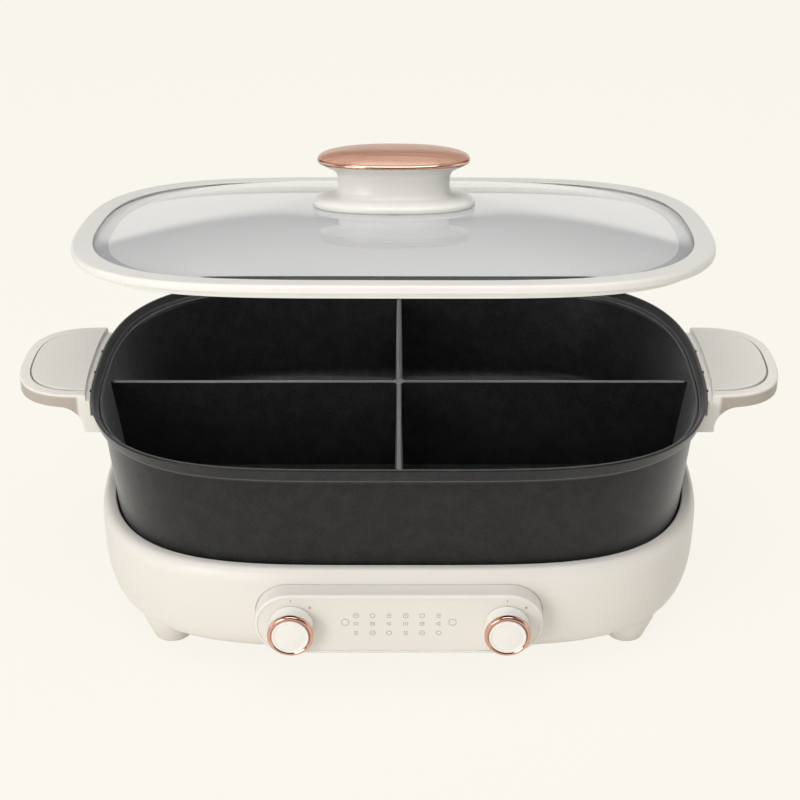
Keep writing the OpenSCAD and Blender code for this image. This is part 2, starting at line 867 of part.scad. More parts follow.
module handle_screws() {
  color(steel) in_place() for (side = [-1, 1]) {
    for (sy = [-1, 1]) {
      translate([side * leg_screw_x, sy * leg_screw_y, leg_low + 2.4 - screw_head_t])
        cylinder(r = leg_head_r, h = screw_head_t);
      translate([side * leg_screw_x, sy * leg_screw_y, leg_low + 2.4 - screw_head_t])
        cylinder(r = screw_r, h = lug_low - leg_low + 4);
    }
  }
}

// ---------- lid ----------

frame_profile = [
  [frame_in, glass_low - 0.05],
  [frame_in, 0],
  [frame_in + 2.4, 0],
  [frame_in + 2.5, -3.4],
  [frame_in + 3, -4],
  [frame_in + 4.1, -4],
  [frame_in + 4.6, -3.4],
  [frame_in + 4.7, 0],
  [lid_half - 1.4, 0],
  [lid_half - 0.4, 0.6],
  [lid_half, 2],
  [lid_half, frame_h - 2],
  [lid_half - 0.5, frame_h - 0.8],
  [lid_half - 1.8, frame_h],
  [frame_in + 1.2, frame_h],
  [frame_in + 0.2, frame_h - 0.4],
  [frame_in, glass_low + glass_t + 0.05],
  [glass_half + 0.3, glass_low + glass_t + 0.05],
  [glass_half + 0.3, glass_low - 0.05]
];

module lid_frame() {
  color(cream) held() loft_loop(frame_profile);
}

// A ring of the glass at a share of its full size
function glass_ring(share, height) = [
  for (p = squircle(glass_half * share, (glass_half - slim) * share, side_power, end_power, outline_points))
    [p[0], p[1], height]
];

function dome_at(share) =
  share < dome_flat ? glass_dome : glass_dome * (1 - pow((share - dome_flat) / (0.955 - dome_flat), 1.9));

dome_shares = [0.955, 0.9, 0.82, 0.72, 0.6, 0.46, dome_flat];

module lid_glass() {
  low = [for (s = dome_shares) glass_ring(s, glass_low + dome_at(s))];
  high = [for (s = dome_shares) glass_ring(s, glass_low + glass_t + dome_at(s))];
  rings = concat(
    [for (i = [len(low) - 1:-1:0]) low[i]],
    [glass_ring(1, glass_low), glass_ring(1, glass_low + glass_t)],
    high
  );
  color([0.75, 0.78, 0.8, 0.6]) held() difference() {
    loft(rings);
    translate([0, 0, glass_low + glass_dome - 1]) cylinder(r = 2.6, h = glass_t + 2);
  }
}

// A ring of the lid's knob
function grip_ring(half_len, half_dep, height) = [
  for (p = squircle(half_len, half_dep, grip_power, grip_power, 48)) [p[0], p[1], height]
];

grip_half = grip_len / 2;
grip_half_dep = grip_dep / 2;
grip_foot_half = grip_foot_len / 2;
grip_foot_dep = grip_half_dep;
neck_half = grip_half - 12;
neck_dep = grip_half_dep - 10;
trim_low = grip_top - 8;
trim_t = 2.2;

module lid_knob_base() {
  z = glass_top;
  color("#efece5") held() difference() {
    loft([
      grip_ring(grip_foot_half - 0.6, grip_foot_dep - 0.6, z),
      grip_ring(grip_foot_half, grip_foot_dep, z + 0.8),
      grip_ring(grip_foot_half, grip_foot_dep, z + 2.4),
      grip_ring(grip_foot_half - 1.6, grip_foot_dep - 1.6, z + 4.2),
      grip_ring(grip_foot_half - 6, grip_foot_dep - 4.5, z + 5.4),
      grip_ring(neck_half + 2.5, neck_dep + 2, z + 7),
      grip_ring(neck_half, neck_dep, z + 9.5),
      grip_ring(neck_half, neck_dep, trim_low - 8),
      grip_ring(neck_half + 1.8, neck_dep + 1.5, trim_low - 5),
      grip_ring(neck_half + 6, neck_dep + 5, trim_low - 2.6),
      grip_ring(grip_half - 1.5, grip_half_dep - 1.5, trim_low - 0.8),
      grip_ring(grip_half - 1.2, grip_half_dep - 1.2, trim_low)
    ]);
    translate([0, 0, z - 1]) cylinder(r = 2, h = 14);
  }
}

module lid_knob_trim() {
  color(rose_gold) held() loft([
    grip_ring(grip_half - 0.5, grip_half_dep - 0.5, trim_low),
    grip_ring(grip_half, grip_half_dep, trim_low + 0.5),
    grip_ring(grip_half, grip_half_dep, trim_low + trim_t - 0.5),
    grip_ring(grip_half - 0.5, grip_half_dep - 0.5, trim_low + trim_t)
  ]);
}

module lid_knob_top() {
  low = trim_low + trim_t;
  rise = grip_top - low;
  color(wood) held() loft([
    grip_ring(grip_half - 0.8, grip_half_dep - 0.8, low),
    grip_ring(grip_half - 0.5, grip_half_dep - 0.5, low + rise * 0.3),
    grip_ring(grip_half - 1.8, grip_half_dep - 1.8, low + rise * 0.62),
    grip_ring(grip_half - 5.5, grip_half_dep - 5, low + rise * 0.86),
    grip_ring(grip_half - 13, grip_half_dep - 11, low + rise * 0.97),
    grip_ring(grip_half - 24, grip_half_dep - 18, low + rise)
  ]);
}

glass_under = glass_low + glass_dome;       // underside of the glass at its middle

module lid_knob_washer() {
  color("#6d6d6d") held() translate([0, 0, glass_under - washer_t]) difference() {
    cylinder(r = 9, h = washer_t);
    translate([0, 0, -1]) cylinder(r = 2.2, h = washer_t + 2);
  }
}

module lid_knob_screw() {
  color(steel) held() union() {
    translate([0, 0, glass_under - washer_t - 2.6]) cylinder(r = 4, h = 2.6);
    translate([0, 0, glass_under - washer_t - 2.6]) cylinder(r = screw_r, h = 2.6 + washer_t + glass_t + 11);
  }
}

base_shell();
bottom_cover();
deck_ring();
foot(-1, -1);  // front_left_foot
foot(1, -1);  // front_right_foot
foot(-1, 1);  // rear_left_foot
foot(1, 1);  // rear_right_foot
foot_pads();
bottom_screws();
heating_plate();
heater_tube();
plate_supports();
heat_reflector();
thermostat();
thermal_fuse();
console_frame();
control_panel();
control_board();
control(-1);  // left_control
control(1);  // right_control
knob_body(-1);  // left_knob
knob_body(1);  // right_knob
knob_ring(-1);  // left_knob_ring
knob_ring(1);  // right_knob_ring
knob_cap(-1);  // left_knob_cap
knob_cap(1);  // right_knob_cap
knob_shaft(-1);  // left_knob_shaft
knob_shaft(1);  // right_knob_shaft
mains_inlet();
inlet_pins();
power_board();
pot();
handle(-1);  // left_handle
handle(1);  // right_handle
handle_cap(-1);  // left_handle_cap
handle_cap(1);  // right_handle_cap
handle_screws();
lid_frame();
lid_glass();
lid_knob_base();
lid_knob_trim();
lid_knob_top();
lid_knob_washer();
lid_knob_screw();
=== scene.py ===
import json
import math

import bmesh
import bpy
from mathutils import Matrix, Vector


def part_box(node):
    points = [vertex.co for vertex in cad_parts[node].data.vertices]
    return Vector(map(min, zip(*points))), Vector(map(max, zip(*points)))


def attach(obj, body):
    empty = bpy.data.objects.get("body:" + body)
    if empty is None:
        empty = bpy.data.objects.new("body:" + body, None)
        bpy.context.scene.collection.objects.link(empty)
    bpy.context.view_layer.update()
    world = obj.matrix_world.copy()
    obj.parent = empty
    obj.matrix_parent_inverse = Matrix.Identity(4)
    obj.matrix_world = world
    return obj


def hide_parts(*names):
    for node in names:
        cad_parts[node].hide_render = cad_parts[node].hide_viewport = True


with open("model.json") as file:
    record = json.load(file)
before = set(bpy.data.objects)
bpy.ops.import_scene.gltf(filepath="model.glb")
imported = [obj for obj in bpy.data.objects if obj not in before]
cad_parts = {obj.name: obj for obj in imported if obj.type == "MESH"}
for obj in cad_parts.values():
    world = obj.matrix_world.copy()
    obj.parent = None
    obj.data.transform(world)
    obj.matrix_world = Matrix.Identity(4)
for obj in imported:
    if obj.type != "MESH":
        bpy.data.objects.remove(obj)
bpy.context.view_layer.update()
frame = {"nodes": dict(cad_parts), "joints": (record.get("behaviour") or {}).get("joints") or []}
print("frame loaded")

mm = 0.001
fullTurn = 2 * math.pi

camera = {"place": (0.6, -991.9, 637.3), "pitch": 62.6, "lens": 81.72, "sensor": 36.0}


def makeCamera():
    data = bpy.data.cameras.new("camera")
    data.lens, data.sensor_width = camera["lens"], camera["sensor"]
    item = bpy.data.objects.new("camera", data)
    item.location = Vector(camera["place"]) * mm
    item.rotation_euler = (math.radians(camera["pitch"]), 0, 0)
    bpy.context.scene.collection.objects.link(item)
    bpy.context.scene.camera = item


makeCamera()
bpy.context.scene.view_settings.view_transform = "Standard"


class Wire:                                   # a socket that takes part in arithmetic
    def __init__(self, finish, socket):
        self.finish, self.socket = finish, socket

    def maths(self, operation, first, second):
        return self.finish.add("ShaderNodeMath", {"operation": operation}, {0: first, 1: second})

    def __add__(self, other):
        return self.maths("ADD", self, other)

    def __sub__(self, other):
        return self.maths("SUBTRACT", self, other)

    def __rsub__(self, other):
        return self.maths("SUBTRACT", other, self)

    def __mul__(self, other):
        return self.maths("MULTIPLY", self, other)

    def __truediv__(self, other):
        return self.maths("DIVIDE", self, other)

    def __pow__(self, other):
        return self.maths("POWER", self, other)

    def within(self, low, high):              # 0 below low, 1 above high, smooth between
        return self.finish.add("ShaderNodeMapRange", {"interpolation_type": "SMOOTHSTEP"},
                               {"Value": self, "From Min": low, "From Max": high})

    __radd__ = __add__
    __rmul__ = __mul__


class Finish:                                 # the nodes of a material, or of the world
    def __init__(self, owner, coordinates="Object"):
        self.owner = owner
        owner.use_nodes = True
        self.tree = owner.node_tree
        self.tree.nodes.clear()
        self.place = self.add("ShaderNodeTexCoord", out=coordinates)

    def add(self, kind, settings=None, sockets=None, out=0):
        node = self.tree.nodes.new(kind)
        for key, value in (settings or {}).items():
            setattr(node, key, value)
        for key, value in (sockets or {}).items():
            if isinstance(value, Wire):
                self.tree.links.new(value.socket, node.inputs[key])
            else:
                node.inputs[key].default_value = value
        return Wire(self, node.outputs[out])

    def noise(self, scale, detail=2.0, roughness=0.5, where=None):
        return self.add("ShaderNodeTexNoise", {}, {"Vector": where or self.place, "Scale": scale, "Detail": detail,
                                                   "Roughness": roughness})

    def stretched(self, scale):
        return self.add("ShaderNodeMapping", {}, {"Vector": self.place, "Scale": scale})

    def blend(self, mask, first, second):     # first where mask is 0, second where it is 1
        return self.add("ShaderNodeMix", {"data_type": "RGBA"}, {0: mask, 6: colour(first), 7: colour(second)}, out=2)

    def bump(self, height, distance, strength=1.0):
        return self.add("ShaderNodeBump", {}, {"Height": height, "Distance": distance, "Strength": strength})

    def surface(self, **sockets):
        named = {key.replace("_", " "): value for key, value in sockets.items()}
        return self.output(self.add("ShaderNodeBsdfPrincipled", {}, named))

    def output(self, shader, kind="ShaderNodeOutputMaterial"):
        node = self.tree.nodes.new(kind)
        self.tree.links.new(shader.socket, node.inputs["Surface"])
        return self.owner

    def seenBy(self, *kinds):                 # 1 for rays of these kinds, otherwise 0
        found = [self.add("ShaderNodeLightPath", out=f"Is {kind} Ray") for kind in kinds]
        return self.add("ShaderNodeMath", {"operation": "MINIMUM"}, {0: sum(found), 1: 1.0})


def colour(value):
    return value if isinstance(value, Wire) else (*value[:3], 1.0)


def shade(value, factor):                     # a colour made lighter or darker
    return tuple(channel * factor for channel in value)


plasticLook = {"cloud": 9.0, "grain": 2600.0, "relief": 0.012, "spread": 0.012, "specular": 0.5}


def plastic(name, look):                      # look: colour and rough, and what differs from plasticLook
    look = {**plasticLook, **look}
    finish = Finish(bpy.data.materials.new(name))
    cloud = finish.noise(look["cloud"], 3.0).within(0.35, 0.65)
    grain = finish.noise(look["grain"], 2.0)
    base = finish.blend(cloud, shade(look["colour"], 1 - look["spread"]), shade(look["colour"], 1 + look["spread"]))
    return finish.surface(Base_Color=base, Roughness=look["rough"] + (cloud - 0.5) * 0.05 + (grain - 0.5) * 0.06,
                          Normal=finish.bump(grain, look["relief"] * mm), Specular_IOR_Level=look["specular"])


metalLook = {"cloud": 30.0, "streak": (900.0, 900.0, 900.0), "relief": 0.004, "tones": (0.92, 1.05)}


def metal(name, look):                        # look: colour and rough, and what differs from metalLook
    look = {**metalLook, **look}
    finish = Finish(bpy.data.materials.new(name))
    cloud = finish.noise(look["cloud"], 3.0).within(0.3, 0.7)
    streak = finish.noise(1.0, 2.0, where=finish.stretched(look["streak"]))
    base = finish.blend(cloud, *(shade(look["colour"], tone) for tone in look["tones"]))
    return finish.surface(Base_Color=base, Metallic=1.0, Roughness=look["rough"] + (streak - 0.5) * 0.12,
                          Normal=finish.bump(streak, look["relief"] * mm))


# the lighter crest colour, laid on the crest heights below, is a painted highlight along the wall tops, bead and rim
castCoating = {"dark": (0.007, 0.007, 0.0075), "light": (0.020, 0.020, 0.0205), "fleck": (0.07, 0.07, 0.07),
               "poresAndPaintedHighlight": (0.19, 0.19, 0.19), "wallCrest": (0.1317, 0.1323), "beadCrest": (0.1378, 0.1384),
               "rimCrest": (0.1436, 0.144), "bead": (0.1795, 0.1265, 0.00758), "beadPowers": (2.1, 1.35),
               "rough": 0.30, "relief": 0.03, "specular": 0.22, "sheen": 0.22, "sheenRough": 0.45}


def makeCastCoating():                        # black non-stick coating, mottled like stone
    finish = Finish(bpy.data.materials.new("castCoating"))
    cloud = finish.noise(120.0, 4.0, 0.62).within(0.38, 0.66)
    pit = finish.noise(1100.0, 3.0, 0.6)
    fleck = finish.add("ShaderNodeTexVoronoi", {"feature": "F1"}, {"Vector": finish.place, "Scale": 420.0})
    chosen = finish.noise(260.0, 1.0).within(0.56, 0.62)
    spark = (1 - fleck.within(0.10, 0.24)) * chosen
    base = finish.blend(spark * 0.55, finish.blend(cloud * 0.5 + pit.within(0.35, 0.7) * 0.5, castCoating["dark"],
                                                   castCoating["light"]), castCoating["fleck"])
    x, y, z = (finish.add("ShaderNodeSeparateXYZ", {}, {0: finish.place}, out=axis) for axis in "XYZ")
    halfX, halfY, middle = castCoating["bead"]          # round the bead this sum of powers is 1
    off = y - middle
    along, across = castCoating["beadPowers"]
    edge = (x * x / halfX ** 2) ** along + (off * off / halfY ** 2) ** across
    # painted highlight masks: the tops of the walls, the bead and the rim
    walls = z.within(*castCoating["wallCrest"]) * (1 - edge.within(0.90, 0.92))
    bead = z.within(*castCoating["beadCrest"]) * (1 - edge.within(1.03, 1.05))
    rim = z.within(*castCoating["rimCrest"])
    poresAndPaintedHighlight = walls + bead * 0.45 + rim * 0.3    # crests are painted lighter: a painted highlight where they would catch the light
    return finish.surface(Base_Color=finish.blend(poresAndPaintedHighlight, base, castCoating["poresAndPaintedHighlight"]),
                          Roughness=castCoating["rough"] + (pit - 0.5) * 0.18 - spark * 0.08,
                          Normal=finish.bump(pit + cloud * 0.6, castCoating["relief"] * mm, 0.6),
                          Specular_IOR_Level=castCoating["specular"],
                          Sheen_Weight=castCoating["sheen"], Sheen_Roughness=castCoating["sheenRough"])


smokedGlass = {"colour": (0.67, 0.69, 0.735), "rough": 0.02, "bend": 1.06, "coatRough": 0.02}


def makeSmokedGlass():
    finish = Finish(bpy.data.materials.new("smokedGlass"))
    cloud = finish.noise(14.0, 2.0).within(0.3, 0.7)
    base = finish.blend(cloud, shade(smokedGlass["colour"], 0.985), shade(smokedGlass["colour"], 1.015))
    return finish.surface(Base_Color=base, Roughness=smokedGlass["rough"] + cloud * 0.01, IOR=smokedGlass["bend"],
                          Transmission_Weight=1.0, Coat_Weight=1.0, Coat_Roughness=smokedGlass["coatRough"])


walnut = {"pale": (0.66, 0.38, 0.27), "deep": (0.48, 0.24, 0.155), "pore": (0.13, 0.045, 0.025), "rough": 0.30,
          "oil": 0.35, "oilRough": 0.18}


def makeWalnut():                             # oiled wood, its grain along X
    finish = Finish(bpy.data.materials.new("walnut"))
    grain = finish.noise(1.0, 5.0, 0.6, finish.stretched((16.0, 210.0, 160.0)))
    band = finish.noise(1.0, 2.0, 0.5, finish.stretched((5.0, 75.0, 60.0)))
    pore = finish.noise(1.0, 3.0, 0.7, finish.stretched((70.0, 1500.0, 900.0)))
    figure = grain.within(0.36, 0.64) * 0.65 + band.within(0.35, 0.65) * 0.35
    base = finish.blend(figure, walnut["pale"], walnut["deep"])
    poresAndPaintedHighlight = finish.blend(pore.within(0.58, 0.72) * 0.6, base, walnut["pore"])
    return finish.surface(Base_Color=poresAndPaintedHighlight, Roughness=walnut["rough"] + pore.within(0.4, 0.8) * 0.2,
                          Normal=finish.bump(pore, 0.05 * mm, 0.5), Coat_Weight=walnut["oil"],
                          Coat_Roughness=walnut["oilRough"])


boardLook = {"mask": (0.035, 0.16, 0.085), "copper": (0.06, 0.24, 0.12), "cells": 160.0}


def makeBoard():
    finish = Finish(bpy.data.materials.new("circuitBoard"))
    track = finish.add("ShaderNodeTexVoronoi", {"feature": "DISTANCE_TO_EDGE"},
                       {"Vector": finish.place, "Scale": boardLook["cells"]})
    mask = 1 - track.within(0.05, 0.09)
    return finish.surface(Base_Color=finish.blend(mask, boardLook["mask"], boardLook["copper"]),
                          Roughness=0.42 - mask * 0.1, Normal=finish.bump(mask, 0.03 * mm))


# side is painted shade, a darker beige for the outer sides below heights and further out than near; top is the shell's
# cream painted lighter
handleLookAndShade = {"top": (0.86, 0.835, 0.79), "side": (0.45, 0.40, 0.345), "heights": (0.1445, 0.1466),
              "near": (0.189, 0.1915), "rough": 0.42}


def makeHandlePlasticWithPaintedShade():                      # painted light and shade: cream above and by the pot, painted lighter than the shell's cream; painted shade, a darker beige, down its outer sides
    finish = Finish(bpy.data.materials.new("creamHandlePaintedShade"))
    x, z = (finish.add("ShaderNodeSeparateXYZ", {}, {0: finish.place}, out=axis) for axis in "XZ")
    cloud = finish.noise(9.0, 3.0).within(0.35, 0.65)
    grain = finish.noise(1800.0, 2.0)
    paintedShadeOutside = (x * x).within(*(reach ** 2 for reach in handleLookAndShade["near"]))
    # painted shade: below the top and away from the pot the colour turns to the darker side colour
    base = finish.blend((1 - z.within(*handleLookAndShade["heights"])) * paintedShadeOutside, handleLookAndShade["top"], handleLookAndShade["side"])
    varied = finish.blend(cloud * 0.06, base, shade(handleLookAndShade["side"], 0.9))
    return finish.surface(Base_Color=varied, Roughness=handleLookAndShade["rough"] + (grain - 0.5) * 0.06,
                          Normal=finish.bump(grain, 0.02 * mm))


finishes = {
    "creamShell": plastic("creamShell", {"colour": (0.785, 0.757, 0.712), "rough": 0.36}),
    "creamHandlePaintedShade": makeHandlePlasticWithPaintedShade(),
    "creamInlay": plastic("creamInlay", {"colour": (0.81, 0.785, 0.735), "rough": 0.4, "grain": 1800.0,
                                         "relief": 0.02}),
    "creamFrame": plastic("creamFrame", {"colour": (0.815, 0.80, 0.765), "rough": 0.34}),
    "panelPlastic": plastic("panelPlastic", {"colour": (0.775, 0.745, 0.70), "rough": 0.5, "relief": 0.02}),
    "panelInk": plastic("panelInk", {"colour": (0.40, 0.375, 0.35), "rough": 0.55}),
    "knobWhite": plastic("knobWhite", {"colour": (0.84, 0.825, 0.79), "rough": 0.28}),
    "underside": plastic("underside", {"colour": (0.62, 0.60, 0.56), "rough": 0.55, "grain": 1200.0, "relief": 0.03}),
    "padRubber": plastic("padRubber", {"colour": (0.16, 0.155, 0.15), "rough": 0.75, "grain": 1400.0,
                                       "relief": 0.04}),
    "deckCoating": plastic("deckCoating", {"colour": (0.03, 0.03, 0.032), "rough": 0.5, "grain": 1500.0,
                                           "relief": 0.03}),
    "inletBlack": plastic("inletBlack", {"colour": (0.028, 0.028, 0.03), "rough": 0.45}),
    "sealGrey": plastic("sealGrey", {"colour": (0.30, 0.30, 0.30), "rough": 0.6}),
    "fuseSleeve": plastic("fuseSleeve", {"colour": (0.76, 0.74, 0.68), "rough": 0.8, "grain": 900.0, "relief": 0.08}),
    "controlCase": plastic("controlCase", {"colour": (0.16, 0.17, 0.185), "rough": 0.4}),
    "roseGold": metal("roseGold", {"colour": (0.70, 0.41, 0.32), "rough": 0.12}),
    "screwSteel": metal("screwSteel", {"colour": (0.56, 0.56, 0.57), "rough": 0.32}),
    "plateAluminium": metal("plateAluminium", {"colour": (0.46, 0.46, 0.47), "rough": 0.42,
                                               "streak": (300.0, 2500.0, 900.0)}),
    "heaterSteel": metal("heaterSteel", {"colour": (0.30, 0.26, 0.23), "rough": 0.45}),
    "reflectorSteel": metal("reflectorSteel", {"colour": (0.66, 0.67, 0.69), "rough": 0.25}),
    "brass": metal("brass", {"colour": (0.62, 0.48, 0.25), "rough": 0.35}),
    "nickel": metal("nickel", {"colour": (0.70, 0.69, 0.66), "rough": 0.2}),
    "castCoating": makeCastCoating(),
    "smokedGlass": makeSmokedGlass(),
    "walnut": makeWalnut(),
    "board": makeBoard(),
}
print("materials made")


mergeReach = 0.0005      # points closer than this become one
sharpFrom = 38           # edges that turn by more degrees than this stay crisp


def evenPlaces(count, halfX, halfY, powers):  # unit points, evenly spaced round a rounded outline of that size
    def unit(turn):
        across, up = math.cos(turn), math.sin(turn)
        return (math.copysign(abs(across) ** (2 / powers[0]), across), math.copysign(abs(up) ** (2 / powers[1]), up))

    fine = 6000
    spots = [unit(fullTurn * number / fine) for number in range(fine + 1)]
    travelled = [0.0]
    for (x0, y0), (x1, y1) in zip(spots, spots[1:]):
        travelled.append(travelled[-1] + math.hypot((x1 - x0) * halfX, (y1 - y0) * halfY))
    places, number = [], 0
    for step in range(count):
        wanted = travelled[-1] * step / count
        while travelled[number + 1] < wanted:
            number += 1
        share = (wanted - travelled[number]) / (travelled[number + 1] - travelled[number])
        (x0, y0), (x1, y1) = spots[number], spots[number + 1]
        places.append((x0 + (x1 - x0) * share, y0 + (y1 - y0) * share))
    return places


def loft(rings, count, spot, closed=False):   # rings end with the radius that their edge is rounded to
    shape = bmesh.new()
    place, level = (shape.verts.layers.int.new(name) for name in ("place", "level"))
    fresh = bmesh.ops.create_circle(shape, segments=count, radius=1.0)["verts"]
    for vert in fresh:
        vert[place] = round(math.atan2(vert.co.y, vert.co.x) / fullTurn * count) % count
    edges = shape.edges[:]
    if not closed:
        bmesh.ops.contextual_create(shape, geom=edges)
    for number, ring in enumerate(rings + ([rings[0]] if closed else [])):
        if number:
            grown = bmesh.ops.extrude_edge_only(shape, edges=edges)["geom"]
            fresh = {part for part in grown if isinstance(part, bmesh.types.BMVert)}
            edges = [part for part in grown if isinstance(part, bmesh.types.BMEdge) and fresh.issuperset(part.verts)]
        for vert in fresh:
            vert[level] = number % len(rings)
            vert.co = Vector(spot(ring, vert[place])) * mm
    if closed:
        bmesh.ops.remove_doubles(shape, verts=shape.verts[:], dist=mergeReach * mm)
    else:
        bmesh.ops.contextual_create(shape, geom=edges)
    for number, ring in enumerate(rings):
        if ring[-1]:
            rounded = [edge for edge in shape.edges if all(vert[level] == number for vert in edge.verts)]
            soften(shape, rounded, ring[-1])
    return shape


def soften(shape, edges, radius):
    bmesh.ops.bevel(shape, geom=edges, offset=radius * mm, offset_type="OFFSET", affect="EDGES", segments=3,
                    profile=0.5, clamp_overlap=True, material=-1)


def combine(shape, tool, operation):          # joins two closed shapes, or cuts the second out of the first
    items = []
    for part in (shape, tool):
        bmesh.ops.recalc_face_normals(part, faces=part.faces)
        mesh = bpy.data.meshes.new("part")
        part.to_mesh(mesh)
        part.free()
        items.append(bpy.data.objects.new("part", mesh))
        bpy.context.scene.collection.objects.link(items[-1])
    step = items[0].modifiers.new("step", "BOOLEAN")
    step.operation, step.solver, step.object = operation, "EXACT", items[1]
    made = bmesh.new()
    made.from_object(items[0], bpy.context.evaluated_depsgraph_get())
    for item in items:
        mesh = item.data
        bpy.data.objects.remove(item)
        bpy.data.meshes.remove(mesh)
    return made


def block(lowCorner, highCorner, radius=0.0):
    shape = bmesh.new()
    bmesh.ops.create_cube(shape, size=1.0)
    low, high = Vector(lowCorner) * mm, Vector(highCorner) * mm
    bmesh.ops.scale(shape, vec=high - low, verts=shape.verts)
    bmesh.ops.translate(shape, vec=(low + high) / 2, verts=shape.verts)
    if radius:
        soften(shape, shape.edges[:], radius)
    return shape


turnedSteps = 72


def turned(section, centre, axis):            # a section of (radius, distance along the axis, corner radius)
    shape = bmesh.new()
    axis = Vector(axis)
    aside = axis.orthogonal().normalized()
    verts = [shape.verts.new((aside * radius + axis * along) * mm) for radius, along, _ in section]
    for first, second in zip(verts, verts[1:]):
        shape.edges.new((first, second))
    for vert, (_, _, corner) in zip(verts, section):
        if corner:
            bmesh.ops.bevel(shape, geom=[vert], offset=corner * mm, offset_type="OFFSET", affect="VERTICES",
                            segments=3, profile=0.5, clamp_overlap=True, material=-1)
    bmesh.ops.spin(shape, geom=shape.verts[:] + shape.edges[:], cent=(0, 0, 0), axis=axis, angle=fullTurn,
                   steps=turnedSteps, use_merge=True)
    bmesh.ops.remove_doubles(shape, verts=shape.verts[:], dist=mergeReach * mm)
    bmesh.ops.translate(shape, vec=Vector(centre) * mm, verts=shape.verts)
    return shape


def finishPiece(name, shape, finish, body, stands=(), place=None):
    if place:
        bmesh.ops.transform(shape, matrix=place, verts=shape.verts)
    bmesh.ops.recalc_face_normals(shape, faces=shape.faces)
    mesh = bpy.data.meshes.new(name)
    shape.to_mesh(mesh)
    shape.free()
    for polygon in mesh.polygons:
        polygon.use_smooth = True
    mesh.set_sharp_from_angle(angle=math.radians(sharpFrom))
    mesh.materials.append(finishes[finish])
    item = bpy.data.objects.new(name, mesh)
    bpy.context.scene.collection.objects.link(item)
    evened = item.modifiers.new("evened", "WEIGHTED_NORMAL")
    evened.keep_sharp = True
    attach(item, body)
    if stands:
        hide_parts(*stands)
    return item


def inMillimetres(node):
    low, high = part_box(node)
    return low / mm, high / mm


potLow, potHigh = inMillimetres("pot")
middleY = (potLow.y + potHigh.y) / 2
rimZ = potHigh.z
potHalf = potHigh.x
slim = potHalf - (potHigh.y - middleY)        # half length less half depth, the same for pot, base and lid
outlinePowers = (4.2, 2.7)
outline = evenPlaces(176, potHalf, potHalf - slim, outlinePowers)


def onOutline(ring, number):                  # ring: half length, height, edge radius
    across, along = outline[number]
    return (ring[0] * across, middleY + (ring[0] - slim) * along, ring[1])


def endX(half, y):                            # how far out an outline is at a distance from its middle
    return half * (1 - abs(y / (half - slim)) ** outlinePowers[1]) ** (1 / outlinePowers[0])


def evenSteps(curve, count):                  # points of a curve from 0 to 1, evenly spaced
    fine = 800
    spots = [curve(number / fine) for number in range(fine + 1)]
    travelled = [0.0]
    for first, second in zip(spots, spots[1:]):
        travelled.append(travelled[-1] + math.dist(first, second))
    picked, number = [], 0
    for step in range(count + 1):
        while number < fine and travelled[number] < travelled[-1] * step / count:
            number += 1
        picked.append(spots[number])
    return picked


baseShell = {"tuck": 32.0, "power": 3.45, "shoulder": 8.5, "lip": 174.7, "wall": 2.6, "deck": 66.0, "flange": 4.0,
             "cover": 2.4, "seam": 0.3, "inletFlange": 2, "inletDepth": 15}


def makeBaseShell():
    low, high = inMillimetres("base_shell")
    foot, wide = high.x - baseShell["tuck"], high.z - baseShell["shoulder"]
    lip, wall, power = baseShell["lip"], baseShell["wall"], 2 / baseShell["power"]

    def bowl(inset):
        def curve(share):
            turn = math.pi / 2 * (1 - share)
            return (foot - inset + baseShell["tuck"] * abs(math.cos(turn)) ** power,
                    wide - (wide - low.z) * abs(math.sin(turn)) ** power)
        return curve

    def shoulder(inset):
        def curve(share):
            turn = math.pi / 2 * share
            return (lip + 3 + (high.x - lip - 3 - inset) * math.cos(turn),
                    wide + (baseShell["shoulder"] - inset) * math.sin(turn))
        return curve

    inner = foot - wall
    rings = [(half, z, 0) for half, z in evenSteps(bowl(0), 26)]
    rings += [(half, z, 0) for half, z in evenSteps(shoulder(0), 8)[1:]]
    rings += [(lip, high.z, 1.0), (lip, baseShell["deck"], 0), (lip + wall, baseShell["deck"], 0)]
    rings += [(half, z, 0) for half, z in reversed(evenSteps(shoulder(wall), 6)[:-1])]
    rings += [(half, z, 0) for half, z in reversed(evenSteps(bowl(wall), 14)[1:-1]) if z > low.z + 5.5]
    rings += [(inner - baseShell["flange"], low.z + baseShell["cover"] + 2, 0),
              (inner - baseShell["flange"], low.z + baseShell["cover"], 0),
              (inner, low.z + baseShell["cover"], 0), (inner, low.z, 0)]
    shape = loft(rings, len(outline), onOutline, closed=True)
    seam = baseShell["seam"]
    shape = combine(shape, stadium(consoleSize["length"] + 2 * seam, consoleSize["height"] + 2 * seam,
                                   [(0, panelFront - 10, 0), (0, consoleBack + 0.7, 0)]), "DIFFERENCE")
    inletLow, inletHigh = inMillimetres("mains_inlet")
    flange, depth = baseShell["inletFlange"], baseShell["inletDepth"]
    hole = block((inletLow.x + flange - seam, inletHigh.y - depth, inletLow.z + flange - seam),
                 (inletHigh.x - flange + seam, inletHigh.y + 10, inletHigh.z - flange + seam))
    shape = combine(shape, hole, "DIFFERENCE")
    return finishPiece("base_body", shape, "creamShell", "base", ["base_shell"])


consoleLow, consoleHigh = inMillimetres("console_frame")
panelLow, panelHigh = inMillimetres("control_panel")
panelFront = panelLow.y
consoleBack = consoleHigh.y
consoleMidZ = (consoleLow.z + consoleHigh.z) / 2
consoleSize = {"length": consoleHigh.x - consoleLow.x, "height": consoleHigh.z - consoleLow.z, "rim": 2.0,
               "ledge": 3.5, "softness": 1.5, "panel": 2.8, "points": 128}


